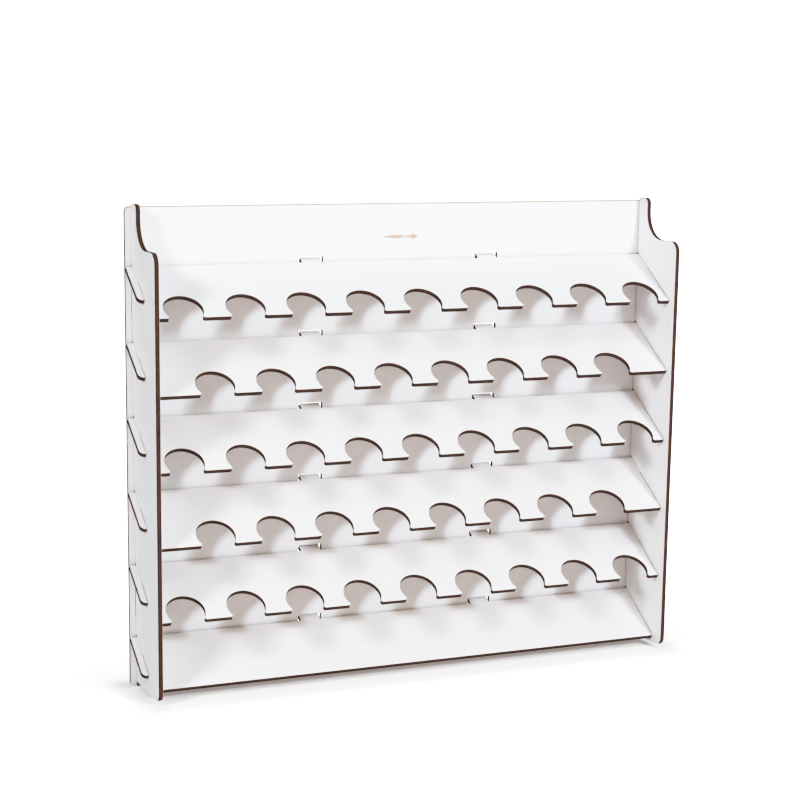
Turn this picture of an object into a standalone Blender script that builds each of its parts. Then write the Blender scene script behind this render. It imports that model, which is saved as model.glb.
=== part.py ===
"""Paint rack organizer: a flat-pack rack of white laminated board for paint bottles.

One back panel, two side panels, five notched shelves and one plain bottom shelf, all cut
from the same 3.2 mm board and joined by tabs and slots, with no fasteners.

World frame, metres: +X to the right seen from the front, -Y to the front, +Z up.
The origin is the centre of the footprint, on the level of the back panel's bottom edge.
"""

import math

import bmesh
import bpy

# ---- driving dimensions (metres, degrees) ------------------------------------------------
BOARD = 0.0032           # board thickness, the same for every piece
INNER_WIDTH = 0.3934     # clear width between the two side panels

FIT = 0.0003             # clearance where one board passes through another
REST = 0.0003            # clearance where one board ends against another
END_GAP = 0.0004         # clearance beside each face of a side panel and of its tabs

# back panel
BACK_WIDTH = 0.4086
BACK_HEIGHT = 0.3376
BACK_CORNER_R = 0.0035

# side panels
SIDE_DEPTH = 0.0540      # from the back panel's front face to the side panel's front edge
SIDE_BOTTOM = 0.0035     # level of the bottom edge
SIDE_TOP = 0.3395        # level of the top edge
SHOULDER_Z = 0.3095      # level of the step below the stub
STUB_DEPTH = 0.0120      # depth of the narrow stub at the top
STUB_R = 0.0048          # rounding of the stub's front top corner
SWEEP_R = 0.0200         # concave curve between the stub and the step
STEP_R = 0.0080          # convex curve from the step down to the front edge
TOE_R = 0.0065           # rounding of the front bottom corner
SIDE_TAB_HEIGHT = 0.0182 # tabs through the back panel
SIDE_TAB_Z = (0.2707, 0.0619)

# shelves
SLOPE = 33.7             # every shelf falls towards the front by this angle
SHELF_TOP_Z = 0.2971     # rear top edge of the highest shelf
SHELF_STEP = 0.0521      # vertical spacing of the shelves
NOTCH_COUNTS = (9, 8, 9, 8, 9, 0)   # notches on each shelf, from the highest down
SHELF_LENGTH = 0.0556    # along the slope, rear top edge to front edge
PLAIN_LENGTH = 0.0496    # the same for the plain bottom shelf
SHELF_END_R = 0.0005     # small rounding of the shelf's front corners

# bottle notches
PITCH = 0.044            # spacing along a shelf
NOTCH_R = 0.0140
NOTCH_INSET = 0.0090     # notch centre behind the shelf's front edge
TIP_R = 0.0014           # rounding of the tips between notches

# ears: the shelf's ends outside the side panels
EAR_LENGTH = 0.0358      # measured along the slope
EAR_R = 0.0040           # rounding of the outer front corner
EAR_OVERHANG = 0.0003    # ear beyond the back panel's side edge
NECK_LENGTH = 0.0172     # part of the shelf that passes through the side panel
SIDE_SLOT_LENGTH = NECK_LENGTH + REST   # depth of the side panel's open slot

# rear tabs of the shelves
REAR_TAB_X = 0.0688      # tab centres, left and right of the middle
REAR_TAB_WIDTH = 0.0151
REAR_TAB_LENGTH = 0.00537
REAR_SLOT_WIDTH = 0.0181

# angle between points on a curve, at most
ARC_STEP = 10.0          # large curves
CORNER_STEP = 15.0       # toe, stub and ear corners
TIP_STEP = 30.0          # notch tips and the back panel's corners
SHELF_END_STEP = 45.0    # the shelf's front corners

WELD_DISTANCE = 0.000002 # joins the separate faces of a filled curve
SHARP_ANGLE = 40.0       # edges above this angle are shaded sharp
DATUM_SIZE = 0.05        # display size of the datum

LAMINATE_COLOUR = (0.80, 0.80, 0.81, 1.0)
LAMINATE_ROUGHNESS = 0.4

SIN = math.sin(math.radians(SLOPE))
COS = math.cos(math.radians(SLOPE))
TAN = math.tan(math.radians(SLOPE))

# The footprint runs from the side panels' front edges to the lower corners of the
# shelves' rear tabs, which stand a little proud of the back panel's rear face.
TAB_REACH = REAR_TAB_LENGTH * COS
FACE_Y = (SIDE_DEPTH - TAB_REACH) / 2.0   # the back panel's front face

SIDE_X = (INNER_WIDTH + BOARD) / 2        # middle of a side panel's thickness
SHELF_LEVELS = [SHELF_TOP_Z - i * SHELF_STEP for i in range(len(NOTCH_COUNTS))]


# ---- scene -------------------------------------------------------------------------------
def make_datum(collection):
    """The datum every board hangs on: the back panel's front face, at its bottom edge."""
    empty = bpy.data.objects.new("back_face_datum", None)
    empty.empty_display_size = DATUM_SIZE
    empty.location = (0.0, FACE_Y, 0.0)
    collection.objects.link(empty)
    return empty


for old in list(bpy.data.objects):
    bpy.data.objects.remove(old, do_unlink=True)

rack = bpy.data.collections.new("paint_rack_organizer")
bpy.context.scene.collection.children.link(rack)
datum = make_datum(rack)


def laminate_material(name):
    """Satin white laminated board."""
    material = bpy.data.materials.new(name + "_white_laminate")
    material.use_nodes = True
    shader = material.node_tree.nodes["Principled BSDF"]
    shader.inputs["Base Color"].default_value = LAMINATE_COLOUR
    shader.inputs["Roughness"].default_value = LAMINATE_ROUGHNESS
    shader.inputs["Metallic"].default_value = 0.0
    material.diffuse_color = LAMINATE_COLOUR
    return material


# ---- cutting a board ---------------------------------------------------------------------
def arc(centre_x, centre_y, radius, start, end, step):
    """Points on an arc, both ends included, from start to end in degrees."""
    count = max(1, math.ceil(abs(end - start) / step - 1e-6))
    points = []
    for i in range(count + 1):
        angle = math.radians(start + (end - start) * i / count)
        points.append((centre_x + radius * math.cos(angle), centre_y + radius * math.sin(angle)))
    return points


def rectangle(x, width, low, high):
    """A rectangle centred on x, between two levels."""
    left, right = x - width / 2, x + width / 2
    return [(left, low), (right, low), (right, high), (left, high)]


def cut_mesh(name, outline, holes):
    """A solid BOARD thick, centred on z = 0, made by filling and extruding closed curves."""
    curve = bpy.data.curves.new(name + "_outline", "CURVE")
    curve.dimensions = "2D"
    curve.fill_mode = "BOTH"
    curve.extrude = BOARD / 2.0
    for points in [outline] + holes:
        spline = curve.splines.new("POLY")
        spline.points.add(len(points) - 1)
        for point, (x, y) in zip(spline.points, points):
            point.co = (x, y, 0.0, 1.0)
        spline.use_cyclic_u = True

    # the curve has to be in the scene to be evaluated
    guide = bpy.data.objects.new(name + "_guide", curve)
    bpy.context.scene.collection.objects.link(guide)
    bpy.context.view_layer.update()
    shape = guide.evaluated_get(bpy.context.evaluated_depsgraph_get())
    mesh = bpy.data.meshes.new_from_object(shape)
    mesh.name = name
    bpy.data.objects.remove(guide, do_unlink=True)
    bpy.data.curves.remove(curve)

    bm = bmesh.new()
    bm.from_mesh(mesh)
    bmesh.ops.remove_doubles(bm, verts=bm.verts, dist=WELD_DISTANCE)
    bmesh.ops.recalc_face_normals(bm, faces=bm.faces)
    bm.to_mesh(mesh)
    bm.free()
    return mesh


def board(name, outline, location, rotation, holes=()):
    """A board cut to a closed outline with closed holes. Location is counted from the datum."""
    mesh = cut_mesh(name, outline, list(holes))
    mesh.materials.clear()
    mesh.materials.append(laminate_material(name))
    mesh.shade_smooth()
    mesh.set_sharp_from_angle(angle=math.radians(SHARP_ANGLE))
    piece = bpy.data.objects.new(name, mesh)
    piece.parent = datum
    piece.location = location
    piece.rotation_euler = rotation
    rack.objects.link(piece)


# ---- back panel --------------------------------------------------------------------------
def back_outline():
    """Rounded rectangle in (x, z), counter-clockwise from the bottom right corner."""
    radius = BACK_CORNER_R
    right, left = BACK_WIDTH / 2 - radius, -BACK_WIDTH / 2 + radius
    low, high = radius, BACK_HEIGHT - radius
    return (arc(right, low, radius, -90, 0, TIP_STEP)
            + arc(right, high, radius, 0, 90, TIP_STEP)
            + arc(left, high, radius, 90, 180, TIP_STEP)
            + arc(left, low, radius, 180, 270, TIP_STEP))


def back_holes():
    """Slots in (x, z) for the shelves' rear tabs and for the side panels' tabs."""
    holes = []
    for z in SHELF_LEVELS:
        # from the shelf's underside at the front face to its top side at the rear face
        low = z - BOARD * COS - FIT
        high = z + BOARD * (1.0 + SIN) * TAN + FIT
        for side in (-1.0, 1.0):
            holes.append(rectangle(side * REAR_TAB_X, REAR_SLOT_WIDTH, low, high))
    reach = SIDE_TAB_HEIGHT / 2 + FIT
    for side in (-1.0, 1.0):
        for z in SIDE_TAB_Z:
            holes.append(rectangle(side * SIDE_X, BOARD + 2 * END_GAP, z - reach, z + reach))
    return holes


def build_back_panel():
    board("back_panel", back_outline(), location=(0.0, BOARD / 2, 0.0),
          rotation=(math.pi / 2, 0.0, 0.0), holes=back_holes())


# ---- side panels -------------------------------------------------------------------------
def slot_wall(shelf_z, offset):
    """Rear and front end of a slot wall, at an offset square to the shelf's top side."""
    edge_y = -BOARD * SIN   # the shelf's rear top edge
    mouth = (-REST, shelf_z + (-REST - edge_y) * TAN + offset / COS)
    end = (edge_y - SIDE_SLOT_LENGTH * COS - offset * SIN,
           shelf_z - SIDE_SLOT_LENGTH * SIN + offset * COS)
    return [mouth, end]


def side_slot(shelf_z):
    """Slot open to the rear, from its upper mouth corner to its lower one."""
    upper = slot_wall(shelf_z, FIT)
    lower = slot_wall(shelf_z, -BOARD - FIT)
    return upper + lower[::-1]


def side_tab(z):
    """Tab through the back panel, from its upper root to its lower one."""
    high, low = z + SIDE_TAB_HEIGHT / 2, z - SIDE_TAB_HEIGHT / 2
    return [(-REST, high), (BOARD, high), (BOARD, low), (-REST, low)]


def side_outline():
    """Profile in (y, z), y counted from the back panel's front face, front negative."""
    front = -SIDE_DEPTH
    # bottom edge forwards, toe, front edge upwards, step, sweep, stub
    points = [(-REST, SIDE_BOTTOM)]
    points += arc(front + TOE_R, SIDE_BOTTOM + TOE_R, TOE_R, 270, 180, CORNER_STEP)
    points += arc(front + STEP_R, SHOULDER_Z - STEP_R, STEP_R, 180, 90, ARC_STEP)
    points += arc(-STUB_DEPTH - SWEEP_R, SHOULDER_Z + SWEEP_R, SWEEP_R, -90, 0, ARC_STEP)
    points += arc(-STUB_DEPTH + STUB_R, SIDE_TOP - STUB_R, STUB_R, 180, 90, CORNER_STEP)
    points.append((-REST, SIDE_TOP))
    # rear edge downwards: slots and tabs in falling order of level
    features = [(z, side_slot) for z in SHELF_LEVELS] + [(z, side_tab) for z in SIDE_TAB_Z]
    for z, feature in sorted(features, key=lambda item: -item[0]):
        points += feature(z)
    return points


def build_side_panels():
    """Both share one outline; its local x and y become the world's y and z."""
    for name, side in (("left_side_panel", -1.0), ("right_side_panel", 1.0)):
        board(name, side_outline(), location=(side * SIDE_X, 0.0, 0.0),
              rotation=(math.pi / 2, 0.0, math.pi / 2))


# ---- shelves -----------------------------------------------------------------------------
def notch(centre_x, length):
    """One C-shaped notch with rounded tips, walked from its right tip to its left tip."""
    # each tip's arc touches the notch's arc, so their centres lie NOTCH_R + TIP_R apart
    drop = NOTCH_INSET - TIP_R
    reach = math.sqrt((NOTCH_R + TIP_R) ** 2 - drop ** 2)
    turn = math.degrees(math.atan2(drop, reach))
    tip_y = -length + TIP_R
    notch_y = -length + NOTCH_INSET
    return (arc(centre_x + reach, tip_y, TIP_R, 270, 180 - turn, TIP_STEP)
            + arc(centre_x, notch_y, NOTCH_R, -turn, 180 + turn, ARC_STEP)[1:-1]
            + arc(centre_x - reach, tip_y, TIP_R, turn, -90, TIP_STEP))


def shelf_outline(length, notches):
    """Outline in local (x, y), y counted up the slope from the rear top edge."""
    body = INNER_WIDTH / 2 - END_GAP
    ear_in = INNER_WIDTH / 2 + BOARD + END_GAP
    ear_out = BACK_WIDTH / 2 + EAR_OVERHANG
    rear = -REST / COS
    tab_in, tab_out = REAR_TAB_X - REAR_TAB_WIDTH / 2, REAR_TAB_X + REAR_TAB_WIDTH / 2

    # right half: rear tab, ear, open slot for the side panel, front corner
    right = [(tab_in, rear), (tab_in, REAR_TAB_LENGTH),
             (tab_out, REAR_TAB_LENGTH), (tab_out, rear), (ear_out, rear)]
    right += arc(ear_out - EAR_R, -EAR_LENGTH + EAR_R, EAR_R, 0, -90, CORNER_STEP)
    right += [(ear_in, -EAR_LENGTH), (ear_in, -NECK_LENGTH), (body, -NECK_LENGTH)]
    right += arc(body - SHELF_END_R, -length + SHELF_END_R, SHELF_END_R, 0, -90, SHELF_END_STEP)

    front = []
    for i in range(notches):
        front += notch((notches - 1) / 2 * PITCH - i * PITCH, length)

    left = [(-x, y) for x, y in reversed(right)]
    return right + front + left


def build_shelves():
    """The shelves in falling order. A shelf's local origin lies in the middle of the board,
    below its rear top edge."""
    for number, (z, notches) in enumerate(zip(SHELF_LEVELS, NOTCH_COUNTS), start=1):
        if notches:
            name, length = "notched_shelf_%d" % number, SHELF_LENGTH
        else:
            name, length = "bottom_shelf", PLAIN_LENGTH
        board(name, shelf_outline(length, notches),
              location=(0.0, -BOARD / 2 * SIN, z - BOARD / 2 * COS),
              rotation=(math.radians(SLOPE), 0.0, 0.0))


build_back_panel()
build_side_panels()
build_shelves()
bpy.context.view_layer.update()
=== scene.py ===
"""Looks of the paint rack organizer: nine laser-cut boards of white laminated fibreboard.

World frame, metres: +X to the right seen from the front, -Y to the front, +Z up, origin at the
centre of the footprint. A back panel and two side panels carry six shelves that slope down to the
front. Each board stands for its CAD node and has fine arcs, a narrow chamfer and a scorched rim.
"""

import math

import bmesh
import bpy
from mathutils import Matrix, Vector
from mathutils.geometry import tessellate_polygon


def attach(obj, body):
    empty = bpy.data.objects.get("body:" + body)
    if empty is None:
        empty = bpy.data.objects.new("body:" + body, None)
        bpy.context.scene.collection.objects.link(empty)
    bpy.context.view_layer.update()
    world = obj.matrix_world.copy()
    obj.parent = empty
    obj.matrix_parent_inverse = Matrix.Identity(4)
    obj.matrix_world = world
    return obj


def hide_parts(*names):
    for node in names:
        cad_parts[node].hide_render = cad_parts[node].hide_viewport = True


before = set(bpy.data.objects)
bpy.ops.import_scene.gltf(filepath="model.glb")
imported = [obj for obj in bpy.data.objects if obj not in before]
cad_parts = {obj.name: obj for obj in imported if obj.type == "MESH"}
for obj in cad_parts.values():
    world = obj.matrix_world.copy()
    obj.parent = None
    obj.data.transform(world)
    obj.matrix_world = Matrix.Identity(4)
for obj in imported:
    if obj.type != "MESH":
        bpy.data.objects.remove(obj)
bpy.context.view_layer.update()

# ---- dimensions of the rack ----------------------------------------------------------------
BOARD = 0.0032           # thickness of every board
INNER_WIDTH = 0.3934     # between the side panels
FIT = 0.0003             # play around tabs and slots
REST = 0.0003            # gap between the back panel and the boards that meet it
END_GAP = 0.0004         # play at the shelves' ends and beside the side panels' tabs

SIDE_DEPTH = 0.0540
SIDE_BOTTOM = 0.0035
SIDE_TOP = 0.3395
STUB_DEPTH = 0.0120      # narrow top part of a side panel
SHOULDER_Z = 0.3095      # where the side panel narrows to the stub
SWEEP_R = 0.0200         # hollow between shoulder and stub
STEP_R = 0.0080          # front corner of the shoulder
STUB_R = 0.0048
TOE_R = 0.0065
SIDE_SLOT_LENGTH = 0.0175
SIDE_TAB_HEIGHT = 0.0182
SIDE_TAB_Z = (0.2707, 0.0619)
SIDE_X = (INNER_WIDTH + BOARD) / 2      # middle of a side panel's thickness

BACK_WIDTH = 0.4086
BACK_HEIGHT = 0.3376
BACK_CORNER_R = 0.0035
REAR_SLOT_WIDTH = 0.0181

SHELF_TOP_Z = 0.2971
SHELF_STEP = 0.0521
SHELF_COUNT = 6
SHELF_LENGTH = 0.0556
PLAIN_LENGTH = 0.0496    # bottom shelf, without notches
SLOPE = math.radians(33.7)
SIN = math.sin(SLOPE)
COS = math.cos(SLOPE)
TAN = math.tan(SLOPE)
NOTCH_PITCH = 0.044
NOTCH_R = 0.0140
NOTCH_INSET = 0.0090     # from the shelf's front edge back to a notch's centre
TIP_R = 0.0014           # rounding where a notch meets the front edge
EAR_LENGTH = 0.0358
EAR_OVERHANG = 0.0003    # past the back panel's end
EAR_R = 0.0040
NECK_LENGTH = 0.0172     # part of the shelf that passes through the side panel
REAR_TAB_X = 0.0688
REAR_TAB_WIDTH = 0.0151
REAR_TAB_LENGTH = 0.00537

FACE_Y = (SIDE_DEPTH - REAR_TAB_LENGTH * COS) / 2.0     # front face of the back panel

# ---- fine surface --------------------------------------------------------------------------
CHAMFER = 0.00004        # arris of the laminate
SCORCH = 0.00010         # dark part of the scorched rim on the face
HALO = 0.00034           # outer limit of its tan part
SCORCH_HEAT = 0.62       # heat where the dark part ends
MITRE_LIMIT = 0.35       # smallest cosine used to lengthen a mitre
SHARP_ANGLE = math.radians(30.0)

# Degrees of turn per segment
ARC_STEP = 4.0           # wide arcs
CORNER_STEP = 6.0        # toe, stub and ear
TIP_STEP = 12.0          # tightest corners

# Rings of vertices round a cut, front to rear: inset from the cut, local z, heat
RINGS = [
    (CHAMFER + HALO, BOARD / 2, 0.0),
    (CHAMFER + SCORCH, BOARD / 2, SCORCH_HEAT),
    (CHAMFER, BOARD / 2, 1.0),
    (0.0, BOARD / 2 - CHAMFER, 1.0),
    (0.0, -BOARD / 2 + CHAMFER, 1.0),
    (CHAMFER, -BOARD / 2, 1.0),
    (CHAMFER + SCORCH, -BOARD / 2, SCORCH_HEAT),
    (CHAMFER + HALO, -BOARD / 2, 0.0),
]
WALL_LEVEL = 3           # the burnt wall lies between this ring and the next

# Material slots of a board
FACE_SLOT, WALL_SLOT, OTHER_FACE_SLOT, ENGRAVING_SLOT = range(4)


# ---- outlines ------------------------------------------------------------------------------
def shelf_z(index):
    return SHELF_TOP_Z - index * SHELF_STEP


def arc(centre_x, centre_y, radius, start, end, step):
    """Points from start to end, both in degrees."""
    count = max(1, math.ceil(abs(end - start) / step - 1e-6))
    points = []
    for i in range(count + 1):
        angle = math.radians(start + (end - start) * i / count)
        points.append((centre_x + radius * math.cos(angle), centre_y + radius * math.sin(angle)))
    return points


def rectangle(left, right, low, high):
    return [(left, low), (right, low), (right, high), (left, high)]


def back_outline():
    """Rounded rectangle; x is across and y is up."""
    reach = BACK_WIDTH / 2 - BACK_CORNER_R
    low, high = BACK_CORNER_R, BACK_HEIGHT - BACK_CORNER_R
    points = []
    for x, y, start in ((reach, low, -90), (reach, high, 0), (-reach, high, 90), (-reach, low, 180)):
        points += arc(x, y, BACK_CORNER_R, start, start + 90, TIP_STEP)
    return points


def back_holes():
    """Slots for the shelves' rear tabs, then for the side panels' tabs."""
    holes = []
    for index in range(SHELF_COUNT):
        z = shelf_z(index)
        low = z - BOARD * COS - FIT
        high = z + BOARD * (1.0 + SIN) * TAN + FIT
        for x in (-REAR_TAB_X, REAR_TAB_X):
            holes.append(rectangle(x - REAR_SLOT_WIDTH / 2, x + REAR_SLOT_WIDTH / 2, low, high))
    half_width = BOARD / 2 + END_GAP
    half_height = SIDE_TAB_HEIGHT / 2 + FIT
    for x in (-SIDE_X, SIDE_X):
        for z in SIDE_TAB_Z:
            holes.append(rectangle(x - half_width, x + half_width, z - half_height, z + half_height))
    return holes


def side_slot(z, rear):
    """Sloping slot for the shelf at height z, open to the rear, from its upper side to its lower."""
    def at_rear(offset):
        return (rear, z + (rear + BOARD * SIN) * TAN + offset / COS)

    def at_end(offset):
        return (-BOARD * SIN - SIDE_SLOT_LENGTH * COS - offset * SIN,
                z - SIDE_SLOT_LENGTH * SIN + offset * COS)

    upper, lower = FIT, -BOARD - FIT
    return [at_rear(upper), at_end(upper), at_end(lower), at_rear(lower)]


def side_tab(z, rear):
    high, low = z + SIDE_TAB_HEIGHT / 2, z - SIDE_TAB_HEIGHT / 2
    return [(rear, high), (BOARD, high), (BOARD, low), (rear, low)]


def side_outline():
    """x runs to the rear from the back panel's front face and y is up."""
    rear = -REST
    front = -SIDE_DEPTH
    points = [(rear, SIDE_BOTTOM)]
    points += reversed(arc(front + TOE_R, SIDE_BOTTOM + TOE_R, TOE_R, 180, 270, CORNER_STEP))
    points += reversed(arc(front + STEP_R, SHOULDER_Z - STEP_R, STEP_R, 90, 180, ARC_STEP))
    points += arc(-STUB_DEPTH - SWEEP_R, SHOULDER_Z + SWEEP_R, SWEEP_R, -90, 0, ARC_STEP)
    points += reversed(arc(-STUB_DEPTH + STUB_R, SIDE_TOP - STUB_R, STUB_R, 90, 180, CORNER_STEP))
    points.append((rear, SIDE_TOP))
    features = [(shelf_z(i), side_slot) for i in range(SHELF_COUNT)]
    features += [(z, side_tab) for z in SIDE_TAB_Z]
    for z, feature in sorted(features, key=lambda entry: -entry[0]):
        points += feature(z, rear)
    return points


def notch(centre_x, length):
    """Round notch in a shelf's front edge, from right to left."""
    tip_offset = math.sqrt((NOTCH_R + TIP_R) ** 2 - (NOTCH_INSET - TIP_R) ** 2)
    turn = math.degrees(math.atan2(NOTCH_INSET - TIP_R, tip_offset))
    tip_y = -length + TIP_R
    return (arc(centre_x + tip_offset, tip_y, TIP_R, 270, 180 - turn, TIP_STEP)
            + arc(centre_x, -length + NOTCH_INSET, NOTCH_R, -turn, 180 + turn, ARC_STEP)[1:-1]
            + arc(centre_x - tip_offset, tip_y, TIP_R, turn, -90, TIP_STEP))


def shelf_outline(length, notches):
    """x is across and y runs up the slope to the rear."""
    body = INNER_WIDTH / 2 - END_GAP
    ear_in = INNER_WIDTH / 2 + BOARD + END_GAP
    ear_out = BACK_WIDTH / 2 + EAR_OVERHANG
    rear = -REST / COS
    tab_in, tab_out = REAR_TAB_X - REAR_TAB_WIDTH / 2, REAR_TAB_X + REAR_TAB_WIDTH / 2
    right = [(tab_in, rear), (tab_in, REAR_TAB_LENGTH), (tab_out, REAR_TAB_LENGTH),
             (tab_out, rear), (ear_out, rear)]
    right += reversed(arc(ear_out - EAR_R, -EAR_LENGTH + EAR_R, EAR_R, -90, 0, CORNER_STEP))
    right += [(ear_in, -EAR_LENGTH), (ear_in, -NECK_LENGTH), (body, -NECK_LENGTH), (body, -length)]
    front = []
    for i in range(notches):
        front += notch((notches - 1) / 2 * NOTCH_PITCH - i * NOTCH_PITCH, length)
    left = [(-x, y) for x, y in reversed(right)]
    return right + front + left


# ---- boards --------------------------------------------------------------------------------
def oriented(points, counterclockwise):
    following = points[1:] + points[:1]
    area = sum(a[0] * b[1] - b[0] * a[1] for a, b in zip(points, following))
    return points if (area > 0) == counterclockwise else points[::-1]


def left_normal(start, end):
    length = math.hypot(end[0] - start[0], end[1] - start[1])
    return -(end[1] - start[1]) / length, (end[0] - start[0]) / length


def inset(points, distance):
    """The closed outline moved to its left, with mitred corners."""
    moved = []
    for i, (x, y) in enumerate(points):
        before = left_normal(points[i - 1], (x, y))
        after = left_normal((x, y), points[(i + 1) % len(points)])
        mitre_x, mitre_y = before[0] + after[0], before[1] + after[1]
        size = math.hypot(mitre_x, mitre_y)
        mitre_x, mitre_y = mitre_x / size, mitre_y / size
        reach = distance / max(MITRE_LIMIT, mitre_x * before[0] + mitre_y * before[1])
        moved.append((x + mitre_x * reach, y + mitre_y * reach))
    return moved


def add_cut(builder, heat, uv, loop):
    """Rims, chamfers and wall along one outline; returns its front and rear rings."""
    count = len(loop)
    lengths = [0.0]
    for start, end in zip(loop, loop[1:] + loop[:1]):
        lengths.append(lengths[-1] + math.dist(start, end))
    rings = []
    for distance, z, ring_heat in RINGS:
        ring = []
        for x, y in (inset(loop, distance) if distance else loop):
            vertex = builder.verts.new((x, y, z))
            vertex[heat] = ring_heat
            ring.append(vertex)
        rings.append(ring)
    for level, (upper, lower) in enumerate(zip(rings, rings[1:])):
        for i in range(count):
            j = (i + 1) % count
            face = builder.faces.new((upper[i], lower[i], lower[j], upper[j]))
            face.smooth = True
            face.material_index = WALL_SLOT if level == WALL_LEVEL else FACE_SLOT
            along = (lengths[i], lengths[i], lengths[i + 1], lengths[i + 1])
            for corner, length in zip(face.loops, along):
                corner[uv].uv = (length, corner.vert.co.z)
    return rings[0], rings[-1]


def set_flat_uv(face, uv):
    for corner in face.loops:
        corner[uv].uv = (corner.vert.co.x, corner.vert.co.y)


def add_cap(builder, uv, rings, is_front):
    """The clean face within the rings of the outline and the holes."""
    vertices = [vertex for ring in rings for vertex in ring]
    flat_rings = [[Vector((v.co.x, v.co.y, 0.0)) for v in ring] for ring in rings]
    for triangle in tessellate_polygon(flat_rings):
        corners = [vertices[k] for k in triangle]
        first, second, third = (vertex.co for vertex in corners)
        normal_z = (second - first).cross(third - first).z
        if abs(normal_z) < 1e-14:
            continue
        if (normal_z > 0) != is_front:
            corners.reverse()
        try:
            face = builder.faces.new(corners)
        except ValueError:
            # The tessellation may give the same triangle twice.
            continue
        face.smooth = True
        face.material_index = FACE_SLOT if is_front else OTHER_FACE_SLOT
        set_flat_uv(face, uv)


def build_board(name, outline, holes, materials, engrave=None):
    """One board, with local z through its thickness.

    The attribute "heat" is 1 at the cut and 0 on the clean face. On the cut, the UV map "cut"
    holds the length along it and the depth through the board; on the faces, local x and y.
    """
    loops = [oriented(outline, True)] + [oriented(hole, False) for hole in holes]
    builder = bmesh.new()
    heat = builder.verts.layers.float.new("heat")
    uv = builder.loops.layers.uv.new("cut")
    front_rings, rear_rings = zip(*[add_cut(builder, heat, uv, loop) for loop in loops])
    add_cap(builder, uv, front_rings, True)
    add_cap(builder, uv, rear_rings, False)
    if engrave:
        engrave(builder, uv)
    builder.normal_update()
    mesh = bpy.data.meshes.new(name)
    builder.to_mesh(mesh)
    builder.free()
    for material in materials:
        mesh.materials.append(material)
    mesh.set_sharp_from_angle(angle=SHARP_ANGLE)
    return mesh


# ---- engraved paintbrush on the back panel -------------------------------------------------
BRUSH_Z = 0.3137
BRUSH_LIFT = 0.00002     # above the board's face
BRUSH_SEGMENTS = 24      # of the handle and of the hair


def handle_width(i):
    swell = math.sin(math.pi * (i / BRUSH_SEGMENTS) ** 1.5) ** 0.9
    return 0.0007 + 0.0019 * swell


def hair_width(i):
    """Swells over the first ten segments and tapers from the eighth on."""
    swell = math.sin(math.pi * min(1.0, i / 10.0) * 0.5)
    taper = max(0.0, (i - 8) / 16.0) ** 1.2
    return max(0.0001, 0.0024 + 0.0014 * swell - 0.0037 * taper)


# Left end, right end, widths at even stations between them
BRUSH_PARTS = [
    (-0.0138, 0.0030, [handle_width(i) for i in range(BRUSH_SEGMENTS + 1)]),
    (0.0035, 0.0050, [0.0017, 0.0019]),
    (0.0055, 0.0070, [0.0020, 0.0022]),
    (0.0075, 0.0138, [hair_width(i) for i in range(BRUSH_SEGMENTS + 1)]),
]


def engrave_brush(builder, uv):
    """A small paintbrush on the front face, just under the top edge."""
    for left, right, widths in BRUSH_PARTS:
        segments = len(widths) - 1
        stations = [(left + (right - left) * i / segments, width) for i, width in enumerate(widths)]
        points = [(x, BRUSH_Z - width / 2) for x, width in stations]
        points += [(x, BRUSH_Z + width / 2) for x, width in reversed(stations)]
        z = BOARD / 2 + BRUSH_LIFT
        face = builder.faces.new([builder.verts.new((x, y, z)) for x, y in points])
        face.material_index = ENGRAVING_SLOT
        set_flat_uv(face, uv)


# ---- shader nodes --------------------------------------------------------------------------
def grey(value):
    return (value, value, value, 1.0)


class Nodes:
    """Adds nodes to a tree. An input is given as a value or as the socket that feeds it."""

    def __init__(self, tree):
        self.tree = tree

    def feed(self, node, inputs):
        for key, source in inputs.items():
            if isinstance(source, bpy.types.NodeSocket):
                self.tree.links.new(source, node.inputs[key])
            else:
                node.inputs[key].default_value = source

    def add(self, kind, inputs=None, **settings):
        node = self.tree.nodes.new("ShaderNode" + kind)
        for key, value in settings.items():
            setattr(node, key, value)
        self.feed(node, inputs or {})
        return node

    def math(self, operation, *operands, clamp=False):
        operands = dict(enumerate(operands))
        node = self.add("Math", operands, operation=operation, use_clamp=clamp)
        return node.outputs["Value"]

    def split(self, vector):
        return self.add("SeparateXYZ", {"Vector": vector}).outputs

    def mapping(self, vector, **inputs):
        return self.add("Mapping", {"Vector": vector, **inputs}).outputs["Vector"]

    def noise(self, vector, **inputs):
        return self.add("TexNoise", {"Vector": vector, **inputs}).outputs["Fac"]

    def ramp(self, source, *stops):
        """Colour ramp through stops of (position, colour)."""
        node = self.add("ValToRGB", {"Fac": source})
        elements = node.color_ramp.elements
        while len(elements) > 1:
            elements.remove(elements[-1])
        elements[0].position, elements[0].color = stops[0]
        for position, colour in stops[1:]:
            elements.new(position).color = colour
        return node.outputs["Color"]

    def grey_ramp(self, source, *stops):
        return self.ramp(source, *[(position, grey(value)) for position, value in stops])

    def blend(self, factor, under, over, **settings):
        inputs = {"Factor": factor, "A": under, "B": over}
        return self.add("Mix", inputs, data_type="RGBA", **settings).outputs["Result"]

    def multiply(self, first, second):
        return self.blend(1.0, first, second, blend_type="MULTIPLY")

    def bump(self, height, strength, distance):
        inputs = {"Strength": strength, "Distance": distance, "Height": height}
        return self.add("Bump", inputs).outputs["Normal"]

    def camera_switch(self, unseen, seen):
        """The shader seen for camera rays, and unseen for all other rays."""
        is_camera = self.add("LightPath").outputs["Is Camera Ray"]
        return self.add("MixShader", {0: is_camera, 1: unseen, 2: seen}).outputs[0]


def new_material(name):
    material = bpy.data.materials.new(name)
    material.use_nodes = True
    tree = material.node_tree
    return material, Nodes(tree), tree.nodes["Principled BSDF"]


def drift(seed, step):
    """Shift of the noise that sets one board apart from the others."""
    return [seed * part for part in step]


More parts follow.
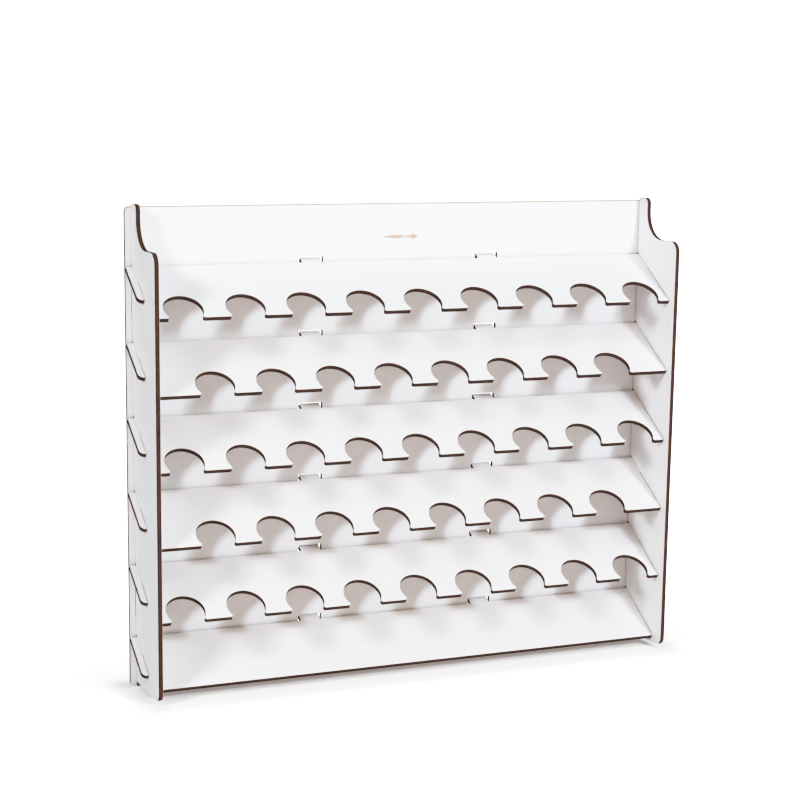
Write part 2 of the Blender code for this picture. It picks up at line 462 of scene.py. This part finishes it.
# ---- painted shade and painted highlight on the laminate: masks in a board's local frame ---
# Dark brown painted shade for the narrow gaps where boards meet
GAP_SHADE = (0.085, 0.045, 0.030, 1.0)
# Tan painted highlight along the back panel's burnt top edge, where it catches the light
TOP_EDGE_HIGHLIGHT = (0.34, 0.20, 0.08, 1.0)
TOP_EDGE_HIGHLIGHT_HEIGHT = 0.0008
TOP_EDGE_HIGHLIGHT_STRENGTH = 0.78
GAP_SHADE_FRONT_MARGIN = 0.0008      # the painted gap shade stops this far short of the plain shelf's front edge


def painted_gap_shade_under_sides(nodes, place):
    """1 on the back panel's front face behind the side panels' rear edges: painted shade for the
    narrow gap there.
    """
    local = nodes.split(place)
    across = nodes.math("ABSOLUTE", local["X"])
    near = nodes.math("COMPARE", across, SIDE_X, BOARD / 2)
    front = nodes.math("GREATER_THAN", local["Z"], 0.0)
    return nodes.math("MULTIPLY", near, front)


def painted_top_edge_highlight(nodes, place):
    """A thin tan line along the back panel's top edge, front face only: painted highlight where the
    burnt top edge catches the light.
    """
    local = nodes.split(place)
    high = nodes.math("GREATER_THAN", local["Y"], BACK_HEIGHT - TOP_EDGE_HIGHLIGHT_HEIGHT)
    front = nodes.math("GREATER_THAN", local["Z"], 0.0)
    line = nodes.math("MULTIPLY", high, front)
    return nodes.math("MULTIPLY", line, TOP_EDGE_HIGHLIGHT_STRENGTH)


def painted_gap_shade_along_shelves(inner):
    """Mask that is 1 on a side panel's inner face where the shelves' burnt ends meet it: painted
    shade for the narrow gap at each shelf's end.

    inner is the sign of local z on that face.
    """
    def mask(nodes, place):
        local = nodes.split(place)
        rise = nodes.math("MULTIPLY_ADD", local["X"], -TAN, -BOARD * SIN * TAN - SHELF_TOP_Z)
        level = nodes.math("ADD", local["Y"], rise)
        step = nodes.math("FLOORED_MODULO", level, SHELF_STEP)
        band = nodes.math("GREATER_THAN", step, SHELF_STEP - BOARD / COS)
        front_limit = -(PLAIN_LENGTH - GAP_SHADE_FRONT_MARGIN) * COS
        behind = nodes.math("GREATER_THAN", local["X"], front_limit)
        inward = nodes.math("MULTIPLY", local["Z"], inner)
        facing = nodes.math("GREATER_THAN", inward, 0.0)
        band_behind = nodes.math("MULTIPLY", band, behind)
        return nodes.math("MULTIPLY", band_behind, facing)
    return mask


# ---- materials -----------------------------------------------------------------------------
WHITE = (0.80, 0.80, 0.815, 1.0)
RAW_FIBRE = (0.480, 0.215, 0.070)
LAMINATE_EDGE = (0.50, 0.265, 0.150, 1.0)


def laminate(name, seed, marks):
    """Satin white film: fine orange peel, faint clouds and a scorched rim along the cuts.

    marks lists (mask function, colour) of the painted shade and painted highlight laid over it.
    """
    material, nodes, shader = new_material(name)
    place = nodes.add("TexCoord").outputs["Object"]
    shifted = nodes.mapping(place, Location=drift(seed, (0.37, 0.61, 0.13)))
    cloud = nodes.noise(shifted, Scale=14.0, Detail=4.0)
    tint = nodes.grey_ramp(cloud, (0.30, 0.985), (0.70, 1.0))
    fine = nodes.noise(shifted, Scale=900.0, Detail=3.0)
    colour = nodes.multiply(WHITE, tint)

    # Scorched rim: the heat, broken up by noise of -0.25 to 0.25
    heat = nodes.add("Attribute", attribute_name="heat").outputs["Fac"]
    ragged = nodes.noise(shifted, Scale=1400.0, Detail=2.0)
    wobble = nodes.math("MULTIPLY_ADD", ragged, 0.5, -0.25)
    burn = nodes.math("ADD", heat, wobble, clamp=True)
    cover = nodes.grey_ramp(burn, (0.0, 0.0), (0.12, 0.0), (0.40, 0.75), (0.70, 1.0))
    char = nodes.ramp(burn,
                      (0.0, (0.86, 0.66, 0.48, 1.0)),
                      (0.50, (0.58, 0.32, 0.18, 1.0)),
                      (0.85, (0.16, 0.075, 0.045, 1.0)),
                      (1.0, (0.06, 0.030, 0.020, 1.0)))
    colour = nodes.blend(cover, colour, char)
    # Painted shade in the gaps between boards and a painted highlight on the top edge
    for mask, painted_colour in marks:
        colour = nodes.blend(mask(nodes, place), colour, painted_colour)

    nodes.feed(shader, {
        "Base Color": colour,
        "Roughness": nodes.grey_ramp(cloud, (0.35, 0.36), (0.65, 0.46)),
        "Specular IOR Level": 0.35,
        "Normal": nodes.bump(fine, strength=0.05, distance=0.00005),
    })
    return material


def burnt_edge(name, seed, film_side):
    """Laser-cut wall: charred brown fibre with fine ribs across the cut, lighter in the middle.

    film_side is the sign of local z on the face whose film shows edge-on as a tan line.
    """
    material, nodes, shader = new_material(name)
    cut = nodes.add("UVMap", uv_map="cut").outputs["UV"]
    through = nodes.split(cut)["Y"]
    # Depth is 0 at the middle of the board and 1 at either face
    depth = nodes.math("DIVIDE", nodes.math("ABSOLUTE", through), BOARD / 2)

    stretched = nodes.mapping(cut, Scale=(2600.0, 160.0, 1.0),
                              Location=drift(seed, (3.1, 1.7, 0.0)))
    ribs = nodes.noise(stretched, Scale=1.0, Detail=3.0)
    slow = nodes.mapping(cut, Scale=(55.0, 300.0, 1.0), Location=drift(seed, (1.3, 0.7, 0.0)))
    patches = nodes.noise(slow, Scale=1.0, Detail=3.0)

    toward_film = nodes.math("DIVIDE", through, film_side * BOARD / 2)
    char = nodes.ramp(depth,
                      (0.0, (0.066, 0.031, 0.022, 1.0)),
                      (0.45, (0.044, 0.021, 0.015, 1.0)),
                      (0.75, (0.016, 0.009, 0.007, 1.0)),
                      (1.0, (0.012, 0.007, 0.006, 1.0)))
    film_line = nodes.grey_ramp(toward_film, (0.80, 0.0), (0.90, 1.0))
    ribbed = nodes.multiply(char, nodes.grey_ramp(ribs, (0.30, 0.62), (0.70, 1.30)))
    patchy = nodes.multiply(ribbed, nodes.grey_ramp(patches, (0.30, 0.78), (0.70, 1.22)))

    nodes.feed(shader, {
        "Base Color": nodes.blend(film_line, patchy, LAMINATE_EDGE),
        "Roughness": 0.85,
        "Specular IOR Level": 0.06,
        "Normal": nodes.bump(ribs, strength=0.35, distance=0.00008),
    })
    return material


def raw_fibre(name, seed):
    """Bare underside of the fibreboard: pressed brown fibre with darker flecks."""
    material, nodes, shader = new_material(name)
    place = nodes.add("TexCoord").outputs["Object"]
    shifted = nodes.mapping(place, Location=drift(seed, (0.29, 0.17, 0.43)))
    stretched = nodes.mapping(shifted, Scale=(240.0, 620.0, 620.0))
    fibre = nodes.noise(stretched, Scale=1.0, Detail=5.0, Roughness=0.65)
    cloud = nodes.noise(shifted, Scale=22.0, Detail=4.0)

    def tinted(*gains):
        return (*[part * gain for part, gain in zip(RAW_FIBRE, gains)], 1.0)

    colour = nodes.ramp(fibre,
                        (0.30, tinted(0.72, 0.70, 0.68)),
                        (0.50, tinted(1.0, 1.0, 1.0)),
                        (0.72, tinted(1.22, 1.25, 1.30)))
    patches = nodes.grey_ramp(cloud, (0.30, 0.90), (0.70, 1.06))
    nodes.feed(shader, {
        "Base Color": nodes.multiply(colour, patches),
        "Roughness": 0.78,
        "Specular IOR Level": 0.3,
        "Normal": nodes.bump(fibre, strength=0.25, distance=0.0001),
    })
    return material


def engraving(name):
    """Brown, finely mottled lines of the engraved brush."""
    material, nodes, shader = new_material(name)
    place = nodes.add("TexCoord").outputs["Object"]
    mottle = nodes.noise(place, Scale=2500.0, Detail=3.0)
    colour = nodes.ramp(mottle, (0.3, (0.46, 0.29, 0.19, 1.0)), (0.7, (0.60, 0.40, 0.28, 1.0)))
    nodes.feed(shader, {"Base Color": colour, "Roughness": 0.8})
    return material


def board_materials(name, seed, raw_side=False, film_side=1.0, marks=()):
    """Materials in slot order: face, wall, other face."""
    face = laminate(name + "_laminate", seed, marks)
    other = raw_fibre(name + "_raw_side", seed) if raw_side else face
    return [face, burnt_edge(name + "_cut_edge", seed, film_side), other]


# ---- assembly ------------------------------------------------------------------------------
def place_board(node, mesh, location, rotation):
    piece = bpy.data.objects.new(node + "_board", mesh)
    piece.location = location
    piece.rotation_euler = rotation
    bpy.context.scene.collection.objects.link(piece)
    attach(piece, "root")
    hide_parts(node)
    return piece


def back_panel():
    """Local y is up and local z points to the front."""
    name = "back_panel"
    # Painted shade in the gaps behind the side panels and a painted highlight along the top edge
    marks = [(painted_gap_shade_under_sides, GAP_SHADE), (painted_top_edge_highlight, TOP_EDGE_HIGHLIGHT)]
    materials = board_materials(name, seed=1, marks=marks) + [engraving(name + "_engraving")]
    mesh = build_board(name + "_board", back_outline(), back_holes(), materials, engrave_brush)
    return place_board(name, mesh, (0.0, FACE_Y + BOARD / 2, 0.0), (math.pi / 2, 0.0, 0.0))


def side_panel(name, side, seed):
    """Local x points to the rear, y up and z to the right; side is the sign of world X."""
    # Painted shade on the inner face in the narrow gaps at the shelves' ends
    materials = board_materials(name, seed, film_side=-side,
                                marks=[(painted_gap_shade_along_shelves(-side), GAP_SHADE)])
    mesh = build_board(name + "_board", side_outline(), [], materials)
    return place_board(name, mesh, (side * SIDE_X, FACE_Y, 0.0), (math.pi / 2, 0.0, math.pi / 2))


def shelf(index):
    """Counted from the top: nine and eight notches by turns, and a plain shelf at the bottom."""
    if index == SHELF_COUNT - 1:
        name = "bottom_shelf"
        outline = shelf_outline(PLAIN_LENGTH, notches=0)
    else:
        name = "notched_shelf_%d" % (index + 1)
        outline = shelf_outline(SHELF_LENGTH, notches=9 if index % 2 == 0 else 8)
    materials = board_materials(name, seed=4 + index, raw_side=True)
    mesh = build_board(name + "_board", outline, [], materials)
    location = (0.0, FACE_Y - BOARD * SIN / 2, shelf_z(index) - BOARD / 2 * COS)
    return place_board(name, mesh, location, (SLOPE, 0.0, 0.0))


pieces = [
    back_panel(),
    side_panel("left_side_panel", side=-1.0, seed=2),
    side_panel("right_side_panel", side=1.0, seed=3),
]
pieces += [shelf(index) for index in range(SHELF_COUNT)]

# ---- floor ---------------------------------------------------------------------------------
FLOOR_SIZE = 40.0
FLOOR_Z = -0.0001
PAPER = 0.90             # reflectance
FOOTPRINT = (("X", 0.205), ("Y", 0.030))    # half sizes of the area under the rack
# Each as distances from the footprint, then the values at them; the lower values near the rack paint
# shade onto the floor
GLOW_SPAN, GLOW = (0.0, 0.16), (0.23, 2.5)
GAIN_SPAN, GAIN = (0.0, 0.022), (PAPER * 1.10, PAPER * 2.2)


def paper(name):
    """White sweep: plain diffuse for the light it bounces, overexposed where the camera sees it, but
    less so near the rack, which paints shade onto the floor around and under it.
    """
    material, nodes, shader = new_material(name)
    nodes.tree.nodes.remove(shader)
    position = nodes.split(nodes.add("NewGeometry").outputs["Position"])
    beyond = {}
    for axis, half in FOOTPRINT:
        past = nodes.math("SUBTRACT", nodes.math("ABSOLUTE", position[axis]), half)
        beyond[axis] = nodes.math("MAXIMUM", past, 0.0)
    outside = nodes.add("CombineXYZ", beyond).outputs["Vector"]
    distance = nodes.add("VectorMath", {0: outside}, operation="LENGTH").outputs["Value"]

    # Dimmer near the rack: painted shade on the floor
    def fade(span, values):
        inputs = {"Value": distance, "From Min": span[0], "From Max": span[1],
                  "To Min": values[0], "To Max": values[1]}
        return nodes.add("MapRange", inputs, interpolation_type="SMOOTHSTEP").outputs["Result"]

    bounce = nodes.add("BsdfDiffuse", {"Color": grey(PAPER)}).outputs[0]
    lit = nodes.add("BsdfDiffuse", {"Color": fade(GAIN_SPAN, GAIN)}).outputs[0]
    glow_inputs = {"Color": grey(1.0), "Strength": fade(GLOW_SPAN, GLOW)}
    glow = nodes.add("Emission", glow_inputs).outputs[0]
    seen = nodes.add("AddShader", {0: lit, 1: glow}).outputs[0]
    output = nodes.tree.nodes["Material Output"]
    nodes.feed(output, {"Surface": nodes.camera_switch(bounce, seen)})
    return material


def lay_floor():
    mesh = bpy.data.meshes.new("floor")
    builder = bmesh.new()
    bmesh.ops.create_grid(builder, x_segments=4, y_segments=4, size=FLOOR_SIZE)
    builder.to_mesh(mesh)
    builder.free()
    mesh.materials.append(paper("floor_paper"))
    floor = bpy.data.objects.new("floor", mesh)
    floor.location = (0.0, FACE_Y + BOARD, FLOOR_Z)
    bpy.context.scene.collection.objects.link(floor)


lay_floor()

# ---- lights --------------------------------------------------------------------------------
# Distant lights: name, azimuth (0 in front of the rack, + to its right), elevation, angular
# size (all in degrees), radiance on white, colour
SUNS = [
    ("side_left_far", -62.0, 24.0, 14.0, 0.294, (0.920, 1.030, 1.000)),
    ("side_right", 60.0, 15.0, 30.0, 0.205, (1.020, 1.005, 0.830)),
    ("high", 0.0, 50.0, 40.0, 0.195, (1.060, 0.980, 0.860)),
    ("front_low", -20.0, 8.0, 30.0, 0.045, (2.300, 1.030, 0.300)),
]
REAR_SUN = ("rear", 165.0, 35.0, 40.0, 0.45, (1.0, 1.0, 1.0))    # lights only the boards
SUN_DISTANCE = 2.0

# Round soft boxes: name, place, width, radiance on white at the target, colour
SOFT_BOXES = [
    ("key_middle", (0.459, -1.27, 0.75), 0.14, 0.320, (0.925, 1.000, 1.110)),
    ("key_left", (0.34, -1.27, 0.75), 0.14, 0.160, (0.910, 1.000, 1.100)),
    ("key_right", (0.58, -1.27, 0.75), 0.14, 0.095, (0.900, 1.000, 1.100)),
    ("key_low", (0.459, -1.27, 0.62), 0.14, 0.240, (0.850, 1.000, 1.170)),
    ("side_left_near", (-0.95, -0.45, 0.76), 0.22, 0.430, (0.988, 0.988, 1.030)),
    ("top", (0.0, -0.35, 1.50), 0.80, 0.085, (1.000, 0.980, 1.020)),
]
BOX_TARGET = Vector((0.0, 0.0, 0.17))


def hang(data, location, backward):
    """Hang a lamp that shines against the vector backward."""
    lamp = bpy.data.objects.new(data.name, data)
    lamp.location = location
    lamp.rotation_mode = "QUATERNION"
    lamp.rotation_quaternion = backward.to_track_quat("Z", "Y")
    bpy.context.scene.collection.objects.link(lamp)
    return lamp


def sun(name, azimuth, elevation, spread, radiance, colour):
    data = bpy.data.lights.new(name, "SUN")
    data.energy = radiance * math.pi
    data.angle = math.radians(spread)
    data.color = colour
    turn, lift = math.radians(azimuth), math.radians(elevation)
    direction = Vector((math.sin(turn) * math.cos(lift), -math.cos(turn) * math.cos(lift),
                        math.sin(lift)))
    return hang(data, direction * SUN_DISTANCE, direction)


def soft_box(name, location, width, radiance, colour):
    position = Vector(location)
    backward = position - BOX_TARGET
    data = bpy.data.lights.new(name, "AREA")
    data.shape = "DISK"
    data.size = width
    data.energy = math.pi ** 2 * radiance * backward.length_squared
    data.color = colour
    hang(data, position, backward).visible_camera = False


for entry in SUNS:
    sun(*entry)
for entry in SOFT_BOXES:
    soft_box(*entry)
boards = bpy.data.collections.new("boards")
bpy.context.scene.collection.children.link(boards)
for piece in pieces:
    boards.objects.link(piece)
sun(*REAR_SUN).light_linking.receiver_collection = boards

# ---- world ---------------------------------------------------------------------------------
DOME = 0.0               # light from the surroundings
BACKDROP = 4.0           # what the camera sees of them


def build_world():
    world = bpy.data.worlds.new("studio")
    bpy.context.scene.world = world
    world.use_nodes = True
    world.node_tree.nodes.clear()
    nodes = Nodes(world.node_tree)
    dome, seen = (nodes.add("Background", {"Color": grey(1.0), "Strength": strength}).outputs[0]
                  for strength in (DOME, BACKDROP))
    nodes.add("OutputWorld", {"Surface": nodes.camera_switch(dome, seen)})


build_world()

# ---- film response: linear in the shadows with a soft shoulder towards white ---------------
WHITE_POINT = 1.05
SHOULDER = 3.0           # higher is a harder shoulder
CURVE_SPAN = 2.5         # scene value at the curve's right end
CURVE_STOPS = [0.1, 0.2, 0.3, 0.4, 0.5, 0.6, 0.7, 0.8, 0.9, 1.0, 1.15, 1.3, 1.5, 1.75, 2.0]


def film(light):
    return light / (1.0 + (light / WHITE_POINT) ** SHOULDER) ** (1.0 / SHOULDER)


def set_film_response():
    view = bpy.context.scene.view_settings
    view.view_transform = "Standard"
    view.look = "None"
    view.exposure = 0.0
    view.gamma = 1.0
    view.use_curve_mapping = True
    response = view.curve_mapping
    response.black_level = (0.0, 0.0, 0.0)
    response.white_level = (CURVE_SPAN, CURVE_SPAN, CURVE_SPAN)
    points = response.curves[3].points      # the curve shared by all channels
    points[0].location = (0.0, 0.0)
    points[-1].location = (1.0, film(CURVE_SPAN))
    for stop in CURVE_STOPS:
        points.new(stop / CURVE_SPAN, film(stop))
    response.update()


set_film_response()

# ---- camera --------------------------------------------------------------------------------
CAMERA_PLACE = (-0.55572, FACE_Y - 1.24817, 0.40673)
YAW = math.radians(22.397)          # to the right of straight back
PITCH_DOWN = math.radians(10.793)
ROLL = math.radians(-0.481)
LENS = {
    "sensor_width": 36.0,
    "lens": 85.19,
    "shift_x": 0.06824,
    "shift_y": 0.08113,
    "clip_start": 0.05,
    "clip_end": 200.0,
}


def add_camera():
    forward = Vector((math.sin(YAW) * math.cos(PITCH_DOWN), math.cos(YAW) * math.cos(PITCH_DOWN),
                      -math.sin(PITCH_DOWN)))
    level_right = Vector((math.cos(YAW), -math.sin(YAW), 0.0))
    level_down = forward.cross(level_right)
    right = level_right * math.cos(ROLL) + level_down * math.sin(ROLL)
    down = level_down * math.cos(ROLL) - level_right * math.sin(ROLL)
    rotation = Matrix((right, -down, -forward)).transposed()
    data = bpy.data.cameras.new("camera")
    for key, value in LENS.items():
        setattr(data, key, value)
    camera = bpy.data.objects.new("camera", data)
    camera.matrix_world = Matrix.Translation(CAMERA_PLACE) @ rotation.to_4x4()
    bpy.context.scene.collection.objects.link(camera)
    bpy.context.scene.camera = camera


add_camera()
